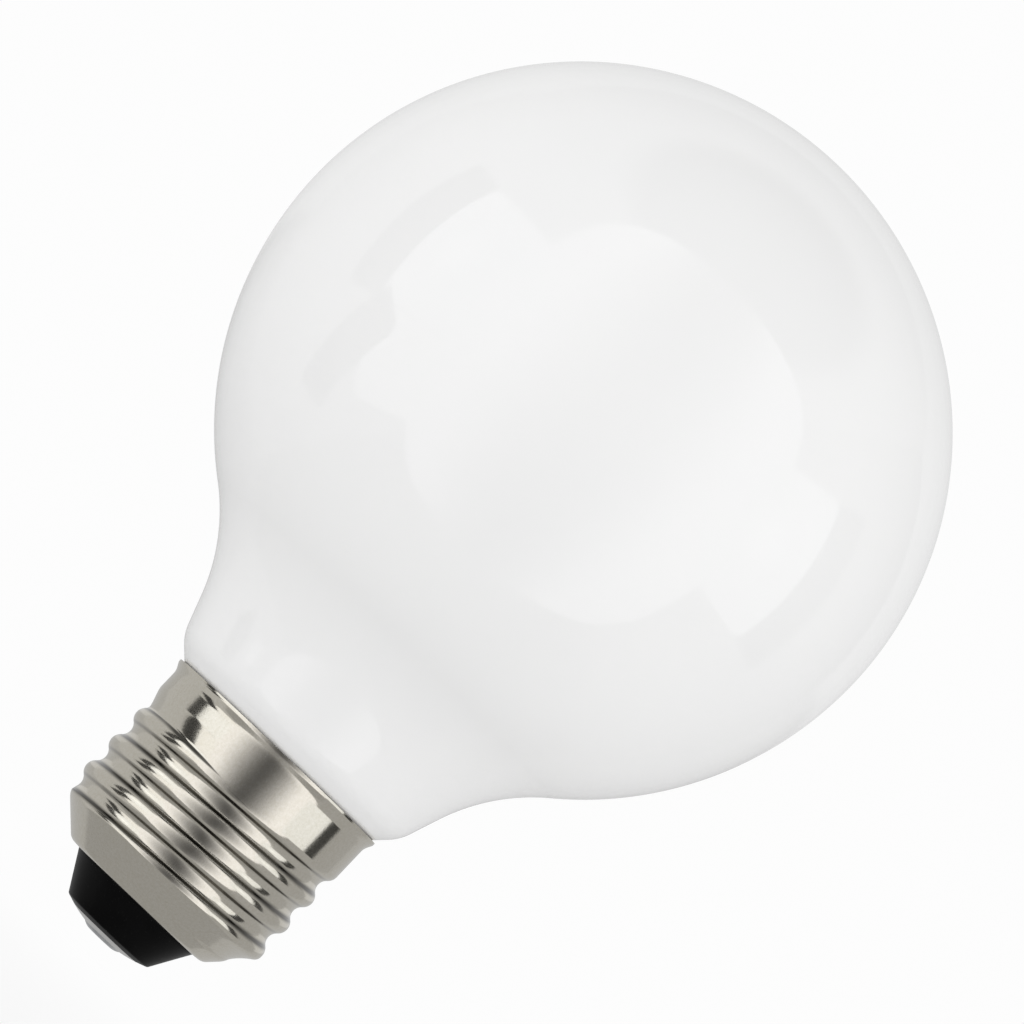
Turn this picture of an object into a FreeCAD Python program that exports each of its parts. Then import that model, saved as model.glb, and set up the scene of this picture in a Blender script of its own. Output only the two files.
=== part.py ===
import FreeCAD, Part
import math
import os

# A globe bulb with a rolled screw cap. Millimetres, +Z along the bulb's axis towards the crown,
# origin at the flat of the centre contact, which is the lowest point of the cap.

# Glass: the globe, its neck and the sealed end inside the cap
globe_dia = 75.0
crown_flattening = 0.4
neck_blend_radius = 21.0
neck_taper_deg = 19.5
shoulder_dia = 31.0
shoulder_height = 3.3
shoulder_straight = 3.0
shoulder_rounding = 5.0
tuck_deg = 45.0
tuck_rim_dia = 26.0
tuck_foot_rounding = 2.5
seal_dia = 21.8
seal_height = 18.0
seal_rounding = 3.0
exhaust_tip_dia = 4.0
exhaust_tip_length = 4.5
exhaust_tip_root = 0.8
exhaust_tip_rounding = 0.9

# Screw cap: one piece of thin sheet with a rolled right-hand thread
sheet = 0.3
cap_height = 25.87
thread_dia = 26.1
thread_pitch = 25.4 / 7
thread_depth = 0.85
groove_foot_height = 9.37
collar_height = 5.07
groove_top_deg = 180.0
lower_runout_turns = 0.7
taper_start_depth = 3.31
taper_slope = 0.352
taper_bend = 0.5
taper_blend_turns = 0.4
taper_steady_turns = 0.055
taper_end_turns = 0.19
lip_flare = 0.45
lip_height = 0.3
lip_rounding = 0.35
flare_height = 0.85
flare_rounding = 1.5
cone_top_height = 9.25
cone_deg = 45.0
cone_top_rounding = 0.9
cap_floor_height = 5.25
cap_floor_rounding = 1.3
cap_floor_hole_dia = 15.8

# The threaded face stops short of the flare and of the floor, and its thread fades out over a margin
collar_foot_height = 0.75
cone_foot_height = 0.87
plain_margin = 0.9

# Black glass insulator
insulator_tip_dia = 10.92
insulator_tip_height = 1.14
insulator_tip_rounding = 0.4
insulator_crown_dia = 9.0
insulator_crown_rise = 0.9
insulator_crown_rounding = 0.6
insulator_bore_dia = 2.4

# Centre contact and its solder, whose mound bulges below a straight side by a share of its rise
contact_dia = 8.6
contact_sheet = 0.3
contact_dome_radius = 15.0
contact_dome_height = 0.12
solder_flat_dia = 3.0
solder_mound_dia = 4.8
solder_mound_bulge = 0.22
solder_plug_height = 2.4

# Cement, lead wires and the solder at the rim
cement_depth = 1.2
cement_recess = 0.67
lead_dia = 0.4
lead_spread = 4.0
lead_drop = 2.2
lead_bend_radius = 1.5
lead_glass_gap = 0.2
centre_lead_end = 1.4
centre_lead_tip_gap = 4.0
side_lead_end_recess = 1.1
rim_solder_dia = 2.4
rim_solder_sink = 0.35

# How finely the threaded face is laid out before it is made smooth, and where its seam lies
seam_deg = 90.0
stations_round = 36
station_step = 0.3
slope_step = 0.01
limit_order = 4
join_tolerance = 0.02

# A rounding takes up at most this share of the shorter run beside it
most_of_run = 0.45
same_point = 1e-6

AXIS = FreeCAD.Vector(0, 0, 1)
ORIGIN = FreeCAD.Vector(0, 0, 0)

globe_radius = globe_dia / 2
thread_radius = thread_dia / 2
lip_radius = thread_radius + lip_flare
seal_radius = seal_dia / 2
tuck_slope = math.tan(math.radians(tuck_deg))
cone_slope = math.tan(math.radians(cone_deg))
flare_foot = cap_height - lip_height - flare_height
groove_top_height = cap_height - collar_height
thread_turns = (groove_top_height - groove_foot_height) / thread_pitch
taper_top_height = cap_height - taper_start_depth
thread_ring_top = flare_foot - collar_foot_height
thread_ring_bottom = cap_floor_height + cone_foot_height


def at(radius, height):
    """The point of the section plane at a radius from the axis and a height."""
    return FreeCAD.Vector(radius, 0, height)


def line(start, end):
    """A straight edge between two points."""
    return Part.LineSegment(start, end).toShape()


def tangent_arc(before, corner, after, rounding):
    """The start, the edge and the end of an arc that rounds a corner between two runs."""
    back = before - corner
    ahead = after - corner
    half_turn = (math.pi - back.getAngle(ahead)) / 2
    reach = min(rounding * math.tan(half_turn), most_of_run * min(back.Length, ahead.Length))
    radius = reach / math.tan(half_turn)
    inward = (back.normalize() + ahead.normalize()).normalize()
    start = corner + back * reach
    end = corner + ahead * reach
    middle = corner + inward * (radius / math.cos(half_turn) - radius)
    return start, Part.Arc(start, middle, end).toShape(), end


def rounded_path(points, roundings):
    """Edges of an open path through points, with a tangent arc at each point that has a rounding."""
    edges = []
    last = points[0]
    for index in range(1, len(points)):
        start = points[index]
        end = start
        if roundings[index] > 0:
            start, arc, end = tangent_arc(points[index - 1], start, points[index + 1], roundings[index])
        if last.distanceToPoint(start) > same_point:
            edges.append(line(last, start))
        if roundings[index] > 0:
            edges.append(arc)
        last = end
    return edges


def outline(corners):
    """Edges of an open outline of (radius, height, rounding) corners."""
    points = [at(radius, height) for radius, height, _ in corners]
    return rounded_path(points, [rounding for _, _, rounding in corners])


def turned(edges):
    """The solid of revolution of a closed outline."""
    return Part.Face(Part.Wire(Part.__sortEdges__(edges))).revolve(ORIGIN, AXIS, 360)


def wire_solid(points):
    """A lead wire along a path of points, with its bends rounded."""
    roundings = [0] + [lead_bend_radius] * (len(points) - 2) + [0]
    section = Part.Wire(Part.makeCircle(lead_dia / 2, points[0], points[1] - points[0]))
    return Part.Wire(rounded_path(points, roundings)).makePipeShell([section], True, False)


# Cap outlines, shared by the sheet and by what seats against it

def collar_corners(inset):
    """The open outline of the collar from the threaded face up to the rim, moved in by an inset."""
    return [
        (thread_radius - inset, thread_ring_top, 0),
        (thread_radius - inset, flare_foot, flare_rounding),
        (lip_radius - inset, cap_height - lip_height, lip_rounding),
        (lip_radius - inset, cap_height, 0),
    ]


def cone_radius(height):
    """Outer radius of the cap's cone at a height."""
    return thread_radius - (cone_top_height - height) * cone_slope


def floor_corners(inset):
    """The open outline from the threaded face down to the hole in the cap's floor, moved in by an inset."""
    along = inset * math.sin(math.radians(cone_deg))
    across = inset * math.cos(math.radians(cone_deg))
    floor = cap_floor_height + inset
    corner_radius = cone_radius(floor) - inset / math.cos(math.radians(cone_deg))
    return [
        (cone_radius(thread_ring_bottom) - across, thread_ring_bottom + along, 0),
        (corner_radius, floor, cap_floor_rounding - inset),
        (cap_floor_hole_dia / 2, floor, 0),
    ]


# Thread

thread_arc_radius = ((thread_pitch / 4) ** 2 + (thread_depth / 2) ** 2) / thread_depth


def eased(share):
    """A smooth step from 0 to 1."""
    share = min(max(share, 0.0), 1.0)
    return share * share * (3 - 2 * share)


def plain_radius(height):
    """Outer radius of the cap without its thread: a cylinder, a rounding and a cone."""
    reach = cone_top_rounding * math.tan(math.radians(cone_deg) / 2)
    arc_top = cone_top_height + reach
    arc_bottom = cone_top_height - reach * math.cos(math.radians(cone_deg))
    if height >= arc_top:
        return thread_radius
    if height <= arc_bottom:
        return cone_radius(height)
    drop = arc_top - height
    return thread_radius - cone_top_rounding + math.sqrt(cone_top_rounding ** 2 - drop ** 2)


def groove_section(offset):
    """Depth of the full groove at an axial offset from its middle: equal arcs at root and crest."""
    offset = abs(offset)
    if offset >= thread_pitch / 2:
        return 0.0
    if offset <= thread_pitch / 4:
        return thread_depth - thread_arc_radius + math.sqrt(thread_arc_radius ** 2 - offset ** 2)
    return thread_arc_radius - math.sqrt(thread_arc_radius ** 2 - (thread_pitch / 2 - offset) ** 2)


def collar_taper(turns_down, height):
    """Depth to which the collar draws in towards the groove's top end, which limits the groove there."""
    below = max(taper_top_height - height, 0)
    drawn = taper_slope * below ** 2 / (below + taper_bend)
    ending = 1 - eased((-turns_down - taper_steady_turns) / taper_end_turns)
    opening = 1 - eased(turns_down / taper_blend_turns)
    return drawn * ending / max(opening, slope_step)


def limited(depth, limit):
    """The smaller of two depths, with a smooth passage from one to the other."""
    if depth <= 0 or limit <= 0:
        return 0.0
    return depth / (1 + (depth / limit) ** limit_order) ** (1 / limit_order)


def groove_depth(angle, height):
    """Depth of the helical groove at an angle round the axis, in degrees, and a height."""
    phase = ((groove_top_deg - angle) / 360) % 1.0
    depth = 0.0
    for whole in range(-1, math.ceil(thread_turns + lower_runout_turns)):
        turns_down = phase + whole
        middle = groove_top_height - thread_pitch * turns_down
        fade = 1 - eased((turns_down - thread_turns) / lower_runout_turns)
        groove = fade * groove_section(height - middle)
        if turns_down < taper_blend_turns:
            groove = limited(groove, collar_taper(turns_down, height))
        depth += groove
    below_top = thread_ring_top - slope_step - height
    above_bottom = height - thread_ring_bottom - slope_step
    return depth * eased(below_top / plain_margin) * eased(above_bottom / plain_margin)


def sheet_radius(angle, height):
    """Outer radius of the threaded sheet at an angle in degrees and a height."""
    return plain_radius(height) - groove_depth(angle, height)


def sheet_point(angle, height, inset):
    """A point of the sheet's outer face, or of its inner face when moved in by the sheet's thickness."""
    rise = sheet_radius(angle, height + slope_step) - sheet_radius(angle, height - slope_step)
    slope = rise / (2 * slope_step)
    length = math.hypot(1, slope)
    radius = sheet_radius(angle, height) - inset / length
    turn = math.radians(angle)
    return FreeCAD.Vector(radius * math.cos(turn), radius * math.sin(turn), height + inset * slope / length)


def thread_face(inset):
    """The smooth threaded face between the collar and the cone, moved in by an inset."""
    span = thread_ring_top - thread_ring_bottom
    rows = math.ceil(span / station_step)
    heights = [thread_ring_bottom + span * row / rows for row in range(rows + 1)]
    grid = []
    for column in range(stations_round + 1):
        angle = seam_deg + 360.0 * (column % stations_round) / stations_round
        grid.append([sheet_point(angle, height, inset) for height in heights])
    surface = Part.BSplineSurface()
    surface.interpolate(grid)
    return surface.toShape()


def boundary(face, end):
    """The closed boundary edge of a threaded face at its lower end (0) or its upper end (-1)."""
    rings = [edge for edge in face.Edges if edge.isClosed()]
    return sorted(rings, key=lambda edge: edge.CenterOfMass.z)[end]


def make_thread_ring():
    """The threaded middle of the cap's sheet, between its collar and its cone."""
    outer = thread_face(0)
    inner = thread_face(sheet)
    rims = [Part.Wire(boundary(outer, -1)), Part.Wire(boundary(inner, -1))]
    upper = Part.makeFace(rims, "Part::FaceMakerBullseye")
    lower = Part.makeRuledSurface(boundary(outer, 0), boundary(inner, 0))
    return Part.Solid(Part.Shell([outer, inner, upper.Faces[0], lower.Faces[0]]))


def turned_sheet(corners_at):
    """One thickness of turned sheet, from the function that gives its open outline at an inset."""
    outer = corners_at(0)
    inner = corners_at(sheet)
    ends = [line(at(*outer[end][:2]), at(*inner[end][:2])) for end in (0, -1)]
    return turned(outline(outer) + outline(inner) + ends)


def make_screw_shell():
    """The nickel-plated screw cap, one thickness of sheet from its flared rim to the hole in its floor."""
    turned_ends = [turned_sheet(collar_corners), turned_sheet(floor_corners)]
    return make_thread_ring().fuse(turned_ends, join_tolerance).Solids[0]


# Glass

def make_glass_bulb():
    """The sealed glass: globe, blended neck, shoulder, tucked end and exhaust tip, as one turned solid."""
    taper = math.radians(neck_taper_deg)
    up = FreeCAD.Vector(math.sin(taper), 0, math.cos(taper))
    out = FreeCAD.Vector(math.cos(taper), 0, -math.sin(taper))
    shoulder = at(shoulder_dia / 2, cap_height + shoulder_height)
    blend_start = shoulder + up * shoulder_straight
    blend_centre = blend_start + out * neck_blend_radius
    reach = globe_radius + neck_blend_radius
    centre = at(0, blend_centre.z + math.sqrt(reach ** 2 - blend_centre.x ** 2))
    towards = (blend_centre - centre).normalize()
    blend_end = centre + towards * globe_radius
    inward = ((blend_start - blend_centre).normalize() - towards).normalize()
    blend = Part.Arc(blend_start, blend_centre + inward * neck_blend_radius, blend_end).toShape()

    widest = at(globe_radius, centre.z)
    crown = at(0, centre.z + globe_radius - crown_flattening)
    low = (widest - centre + towards * globe_radius).normalize()
    globe = Part.Arc(blend_end, centre + low * globe_radius, widest).toShape()
    crown_arc = Part.ArcOfEllipse(Part.Ellipse(widest, crown, centre), 0, math.pi / 2).toBSpline().toShape()

    # The neck's taper and the tuck's cone meet at the shoulder's corner
    tuck_rim_radius = tuck_rim_dia / 2
    tuck_foot = cap_height - (tuck_rim_radius - seal_radius) / tuck_slope
    meeting = shoulder.x - shoulder.z * math.tan(taper) - tuck_rim_radius + cap_height * tuck_slope
    corner_height = meeting / (tuck_slope - math.tan(taper))
    corner_radius = tuck_rim_radius + (corner_height - cap_height) * tuck_slope
    tip_radius = exhaust_tip_dia / 2
    tip_height = seal_height - exhaust_tip_length
    lower = outline([
        (blend_start.x, blend_start.z, 0),
        (corner_radius, corner_height, shoulder_rounding),
        (seal_radius, tuck_foot, tuck_foot_rounding),
        (seal_radius, seal_height, seal_rounding),
        (tip_radius, seal_height, exhaust_tip_root),
        (tip_radius, tip_height, exhaust_tip_rounding),
        (0, tip_height, 0),
    ])
    return turned([crown_arc, globe, blend] + lower + [line(at(0, tip_height), crown)])


# Insulator and contact

def dome_height(radius, inset=0.0):
    """Height of the contact's domed face at a radius, or of the face an inset above it."""
    centre = contact_dome_height + contact_dome_radius
    return centre - math.sqrt((contact_dome_radius - inset) ** 2 - radius ** 2)


def dome_edge(inner, outer, inset=0.0):
    """The arc of the contact's domed face between two radii."""
    points = [at(radius, dome_height(radius, inset)) for radius in (inner, (inner + outer) / 2, outer)]
    return Part.Arc(*points).toShape()


def make_insulator():
    """Black glass, moulded into the cap's floor and standing out below it as a blunt cone."""
    cone_end, floor_corner, hole_edge = floor_corners(sheet)
    hole = cap_floor_hole_dia / 2
    bore = insulator_bore_dia / 2
    edge = contact_dia / 2
    top = cone_end[1] + insulator_crown_rise
    sides = outline([
        (edge, dome_height(edge), 0),
        (insulator_tip_dia / 2, insulator_tip_height, insulator_tip_rounding),
        (hole, cap_floor_height, 0),
        hole_edge,
        floor_corner,
        cone_end,
        (insulator_crown_dia / 2, top, insulator_crown_rounding),
        (bore, top, 0),
        (bore, dome_height(bore, contact_sheet), 0),
    ])
    recess = line(at(edge, dome_height(edge, contact_sheet)), at(edge, dome_height(edge)))
    return turned(sides + [dome_edge(bore, edge, contact_sheet), recess])


def make_contact_plate():
    """The domed contact disc, let into the insulator's tip, with a hole for the lead at its middle."""
    bore = insulator_bore_dia / 2
    edge = contact_dia / 2
    return turned([
        dome_edge(bore, edge),
        line(at(edge, dome_height(edge)), at(edge, dome_height(edge, contact_sheet))),
        dome_edge(bore, edge, contact_sheet),
        line(at(bore, dome_height(bore, contact_sheet)), at(bore, dome_height(bore))),
    ])


def make_centre_solder(lead):
    """Solder that fills the contact's hole and stands below it as a low mound with a worn flat."""
    bore = insulator_bore_dia / 2
    flat = solder_flat_dia / 2
    mound = solder_mound_dia / 2
    rise = dome_height(mound)
    bulge = at((flat + mound) / 2, (0.5 - solder_mound_bulge) * rise)
    blank = turned([
        line(at(0, 0), at(flat, 0)),
        Part.Arc(at(flat, 0), bulge, at(mound, rise)).toShape(),
        dome_edge(bore, mound),
        line(at(bore, dome_height(bore)), at(bore, solder_plug_height)),
        line(at(bore, solder_plug_height), at(0, solder_plug_height)),
        line(at(0, solder_plug_height), at(0, 0)),
    ])
    return blank.cut(lead)


# Lead wires, cement and the solder at the rim

def make_centre_lead():
    """The lead from the seal to the centre contact, down the insulator's bore."""
    straight_height = seal_height - exhaust_tip_length - centre_lead_tip_gap
    return wire_solid([
        FreeCAD.Vector(0, -lead_spread, seal_height),
        FreeCAD.Vector(0, -lead_spread, seal_height - lead_drop),
        FreeCAD.Vector(0, 0, straight_height),
        FreeCAD.Vector(0, 0, centre_lead_end),
    ])


def make_side_lead():
    """The lead from the seal, out past the tucked neck and up inside the collar to the rim."""
    root_radius = thread_radius - thread_depth - sheet
    run = (seal_radius + root_radius) / 2
    off_glass = (lead_dia / 2 + lead_glass_gap) / math.cos(math.radians(tuck_deg))
    end_height = cap_height - side_lead_end_recess
    end_radius = tuck_rim_dia / 2 - side_lead_end_recess * tuck_slope + off_glass
    turn_height = end_height - (end_radius - run) / tuck_slope
    return wire_solid([
        FreeCAD.Vector(0, lead_spread, seal_height),
        FreeCAD.Vector(0, lead_spread, seal_height - lead_drop),
        FreeCAD.Vector(0, run, seal_height - lead_drop),
        FreeCAD.Vector(0, run, turn_height),
        FreeCAD.Vector(0, end_radius, end_height),
    ])


def collar_bore():
    """The space inside the collar, as a solid that stops at the rim."""
    inner = thread_radius - sheet
    return turned(outline(collar_corners(sheet)) + [
        line(at(lip_radius - sheet, cap_height), at(0, cap_height)),
        line(at(0, cap_height), at(0, thread_ring_top)),
        line(at(0, thread_ring_top), at(inner, thread_ring_top)),
    ])


def make_rim_solder(glass, lead):
    """The bead over the rim that joins the side lead to the cap."""
    centre = FreeCAD.Vector(0, lip_radius - rim_solder_sink, cap_height - rim_solder_sink)
    bead = Part.makeSphere(rim_solder_dia / 2, centre)
    return bead.cut(turned_sheet(collar_corners)).cut(glass).cut(lead)


def make_basing_cement(glass, lead, bead):
    """The ring of cement between the glass and the collar, a little below the rim."""
    bottom = cap_height - cement_recess - cement_depth
    slab = Part.makeCylinder(lip_radius, cement_depth, at(0, bottom))
    return slab.common(collar_bore()).cut(glass).cut(lead).cut(bead)


def build():
    """All the pieces by name."""
    glass = make_glass_bulb()
    centre_lead = make_centre_lead()
    side_lead = make_side_lead()
    bead = make_rim_solder(glass, side_lead)
    return {
        "glass_bulb": glass,
        "screw_shell": make_screw_shell(),
        "insulator": make_insulator(),
        "contact_plate": make_contact_plate(),
        "centre_solder": make_centre_solder(centre_lead),
        "basing_cement": make_basing_cement(glass, side_lead, bead),
        "centre_lead": centre_lead,
        "side_lead": side_lead,
        "rim_solder": bead,
    }


os.makedirs("parts", exist_ok=True)
for name, shape in build().items():
    box = shape.optimalBoundingBox()
    print(name, "solids", len(shape.Solids), "valid", shape.isValid(), "volume", round(shape.Volume, 2),
          "z", round(box.ZMin, 3), round(box.ZMax, 3), "x", round(box.XMin, 2), round(box.XMax, 2))
    shape.exportStep("parts/" + name + ".step")
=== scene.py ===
import logging
import math
from dataclasses import dataclass
from enum import Enum

import bpy
from bpy.types import Material, Node, NodeLinks, Nodes, NodeSocket, NodeTree, Object
from mathutils import Matrix, Quaternion, Vector


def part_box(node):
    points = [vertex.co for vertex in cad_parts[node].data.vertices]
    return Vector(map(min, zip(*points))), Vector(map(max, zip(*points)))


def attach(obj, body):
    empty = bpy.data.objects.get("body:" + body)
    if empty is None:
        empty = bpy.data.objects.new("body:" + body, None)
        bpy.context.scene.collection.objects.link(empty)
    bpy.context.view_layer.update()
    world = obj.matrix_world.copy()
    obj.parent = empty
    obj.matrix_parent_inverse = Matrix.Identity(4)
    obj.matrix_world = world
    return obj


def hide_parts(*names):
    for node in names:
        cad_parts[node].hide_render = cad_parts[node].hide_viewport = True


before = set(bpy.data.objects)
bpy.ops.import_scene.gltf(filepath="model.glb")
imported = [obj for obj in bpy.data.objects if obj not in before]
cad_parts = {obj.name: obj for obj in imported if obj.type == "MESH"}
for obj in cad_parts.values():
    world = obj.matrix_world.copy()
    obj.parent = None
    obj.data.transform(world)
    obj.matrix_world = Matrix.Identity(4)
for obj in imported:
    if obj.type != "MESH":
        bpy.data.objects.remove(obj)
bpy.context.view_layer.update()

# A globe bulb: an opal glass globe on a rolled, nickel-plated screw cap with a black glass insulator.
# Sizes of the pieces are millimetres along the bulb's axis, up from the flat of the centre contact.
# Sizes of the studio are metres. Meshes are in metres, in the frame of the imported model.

log = logging.getLogger("globe_bulb")

MM = 0.001
BODY = "root"
# The flank attribute is the mask of the painted shade on the thread's sides.
FLANK = "flank"          # the attribute with the slopes of the thread's sides
MERGE_DISTANCE = 2e-6    # metres
SOFT_EDGES = 60.0        # degrees above which an edge stays sharp, on the glass and the rim's bead
CLEAR_EDGES = 40.0       # the same, on sheet and on the cap's tip

Point = tuple[float, float]
Corner = tuple[float, float, float]
Colour = tuple[float, float, float]


# Sections

def arc(centre: Point, radius: float, start: float, end: float, count: int) -> list[Point]:
    """Lays points along an arc of a section.

    Args:
        centre: Radius and height of the arc's centre, in millimetres.
        radius: The arc's radius, in millimetres.
        start: Angle of the first point, in radians.
        end: Angle of the last point, in radians.
        count: Number of steps along the arc.

    Returns:
        The points, the first and the last included.
    """
    turns = [start + (end - start) * step / count for step in range(count + 1)]
    return [(centre[0] + radius * math.cos(turn), centre[1] + radius * math.sin(turn))
            for turn in turns]


def rounded(corners: list[Corner], arc_step: float = 0.12) -> list[Point]:
    """Rounds the corners of an open outline with tangent arcs.

    Args:
        corners: The outline as (radius, height, rounding) corners, in millimetres.
        arc_step: Length of a step along an arc, in millimetres.

    Returns:
        The outline's points.
    """
    most_of_run = 0.45
    fewest_steps = 4
    points = [Vector(corner[:2]) for corner in corners]
    outline = [points[0]]
    for index in range(1, len(points) - 1):
        here = points[index]
        back = points[index - 1] - here
        ahead = points[index + 1] - here
        if corners[index][2] <= 0:
            outline.append(here)
            continue
        half_turn = (math.pi - back.angle(ahead)) / 2
        widest = most_of_run * min(back.length, ahead.length)
        reach = min(corners[index][2] * math.tan(half_turn), widest)
        radius = reach / math.tan(half_turn)
        inwards = (back.normalized() + ahead.normalized()).normalized()
        middle = here + inwards * radius / math.cos(half_turn)
        first = here + back.normalized() * reach - middle
        turn = first.angle_signed(here + ahead.normalized() * reach - middle)
        count = max(fewest_steps, math.ceil(2 * half_turn * radius / arc_step))
        start = math.atan2(first.y, first.x)
        outline += [Vector(point) for point in arc(middle[:], radius, start, start - turn, count)]
    outline.append(points[-1])
    return [tuple(point) for point in outline]


def spaced(points: list[Point], longest: float) -> list[Point]:
    """Divides the long runs of an outline, so that its surface shades evenly.

    Args:
        points: The outline's points, in millimetres.
        longest: The longest run that is left whole, in millimetres.

    Returns:
        The outline with points added along its long runs.
    """
    divided = [points[0]]
    for start, end in zip(points, points[1:]):
        count = max(1, math.ceil(math.dist(start, end) / longest))
        for step in range(1, count + 1):
            share = step / count
            divided.append((start[0] + (end[0] - start[0]) * share,
                            start[1] + (end[1] - start[1]) * share))
    return divided


def eased(share: float) -> float:
    """A smooth step from 0 to 1."""
    share = min(max(share, 0.0), 1.0)
    return share * share * (3 - 2 * share)


def limited(depth: float, limit: float) -> float:
    """Takes the smaller of two depths, with a smooth passage from one to the other.

    Args:
        depth: A depth, in millimetres.
        limit: The depth that it stays within, in millimetres.

    Returns:
        The limited depth, which is 0 where either of them isn't above 0.
    """
    sharpness = 4
    if depth <= 0 or limit <= 0:
        return 0.0
    return depth / (1 + (depth / limit) ** sharpness) ** (1 / sharpness)


# Modelling by operators

def deselect_all() -> None:
    """Leaves nothing selected and nothing active, in object mode."""
    if bpy.context.mode != "OBJECT":
        bpy.ops.object.mode_set(mode="OBJECT")
    bpy.ops.object.select_all(action="DESELECT")


def turn_section(name: str, points: list[Point], steps: int) -> Object:
    """Turns a section round the bulb's axis: one vertex is extruded along it and spun.

    Args:
        name: Name of the new piece.
        points: The section's points in order, in millimetres.
        steps: Number of steps round the axis.

    Returns:
        The turned piece, its doubles merged and its faces pointing outwards.
    """
    deselect_all()
    places = [Vector((radius, 0.0, height)) * MM for radius, height in points]
    bpy.ops.mesh.primitive_plane_add(size=MM, location=(0, 0, 0))
    piece = bpy.context.active_object
    piece.name = name
    piece.data.name = name
    bpy.ops.object.mode_set(mode="EDIT")
    bpy.ops.mesh.select_all(action="SELECT")
    bpy.ops.mesh.merge(type="CENTER")
    bpy.ops.transform.translate(value=places[0])
    for start, end in zip(places, places[1:]):
        bpy.ops.mesh.extrude_region_move(TRANSFORM_OT_translate={"value": end - start})
    bpy.ops.mesh.select_all(action="SELECT")
    bpy.ops.mesh.spin(steps=steps, angle=math.tau, center=(0, 0, 0), axis=(0, 0, 1))
    bpy.ops.mesh.select_all(action="SELECT")
    bpy.ops.mesh.remove_doubles(threshold=MERGE_DISTANCE)
    bpy.ops.mesh.normals_make_consistent(inside=False)
    bpy.ops.object.mode_set(mode="OBJECT")
    return piece


def dress(piece: Object, sharp_deg: float, material: Material, slot: str, *nodes: str) -> None:
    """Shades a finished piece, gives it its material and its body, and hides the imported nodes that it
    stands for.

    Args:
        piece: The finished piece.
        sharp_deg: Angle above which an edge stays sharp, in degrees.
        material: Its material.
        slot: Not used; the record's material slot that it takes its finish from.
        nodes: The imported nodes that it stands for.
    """
    deselect_all()
    piece.select_set(True)
    bpy.context.view_layer.objects.active = piece
    bpy.ops.object.shade_smooth_by_angle(angle=math.radians(sharp_deg))
    piece.data.materials.clear()
    piece.data.materials.append(material)
    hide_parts(*nodes)
    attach(piece, BODY)
    piece.data.calc_loop_triangles()
    log.info("%s: %d triangles", piece.name, len(piece.data.loop_triangles))


# Shared shader effects

class Effect(Enum):
    """The effects that more than one finish uses."""

    GRAIN = "fine grain"
    CLOUDS = "soft clouds"


# Detail and roughness of each effect's noise.
NOISE = {Effect.GRAIN: (5.0, 0.65), Effect.CLOUDS: (2.0, 0.4)}


def effect_group(effect: Effect) -> NodeTree:
    """Gives the node group of an effect, and builds it on its first use.

    Args:
        effect: The effect that is wanted.

    Returns:
        A group with inputs Place, Scale and Contrast, and outputs Mask and Height.
    """
    middle_grey = 0.5
    found = bpy.data.node_groups.get(effect.value)
    if found:
        return found
    group = bpy.data.node_groups.new(effect.value, "ShaderNodeTree")
    sockets = {"Place": ("INPUT", "Vector"), "Scale": ("INPUT", "Float"), "Contrast": ("INPUT", "Float"),
               "Mask": ("OUTPUT", "Float"), "Height": ("OUTPUT", "Float")}
    for name, (side, kind) in sockets.items():
        group.interface.new_socket(name, in_out=side, socket_type="NodeSocket" + kind)
    nodes, links = group.nodes, group.links
    inside = nodes.new("NodeGroupInput")
    outside = nodes.new("NodeGroupOutput")
    noise = nodes.new("ShaderNodeTexNoise")
    noise.inputs["Detail"].default_value, noise.inputs["Roughness"].default_value = NOISE[effect]
    links.new(inside.outputs["Place"], noise.inputs["Vector"])
    links.new(inside.outputs["Scale"], noise.inputs["Scale"])
    centred = nodes.new("ShaderNodeMath")
    centred.operation = "SUBTRACT"
    centred.inputs[1].default_value = middle_grey
    links.new(noise.outputs["Fac"], centred.inputs[0])
    stretched = nodes.new("ShaderNodeMath")
    stretched.operation = "MULTIPLY_ADD"
    stretched.inputs[2].default_value = middle_grey
    stretched.use_clamp = True
    links.new(centred.outputs[0], stretched.inputs[0])
    links.new(inside.outputs["Contrast"], stretched.inputs[1])
    links.new(stretched.outputs[0], outside.inputs["Mask"])
    links.new(noise.outputs["Fac"], outside.inputs["Height"])
    return group


def smooth_ramp(nodes: Nodes, spread: Point, values: Point) -> Node:
    """Adds a smooth ramp from one value to another.

    Args:
        nodes: The nodes of the material.
        spread: The inputs at which the ramp starts and ends.
        values: What it gives there.

    Returns:
        The ramp's node.
    """
    ramp = nodes.new("ShaderNodeMapRange")
    ramp.interpolation_type = "SMOOTHSTEP"
    for socket, value in zip(("From Min", "From Max", "To Min", "To Max"), (*spread, *values)):
        ramp.inputs[socket].default_value = value
    return ramp


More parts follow.
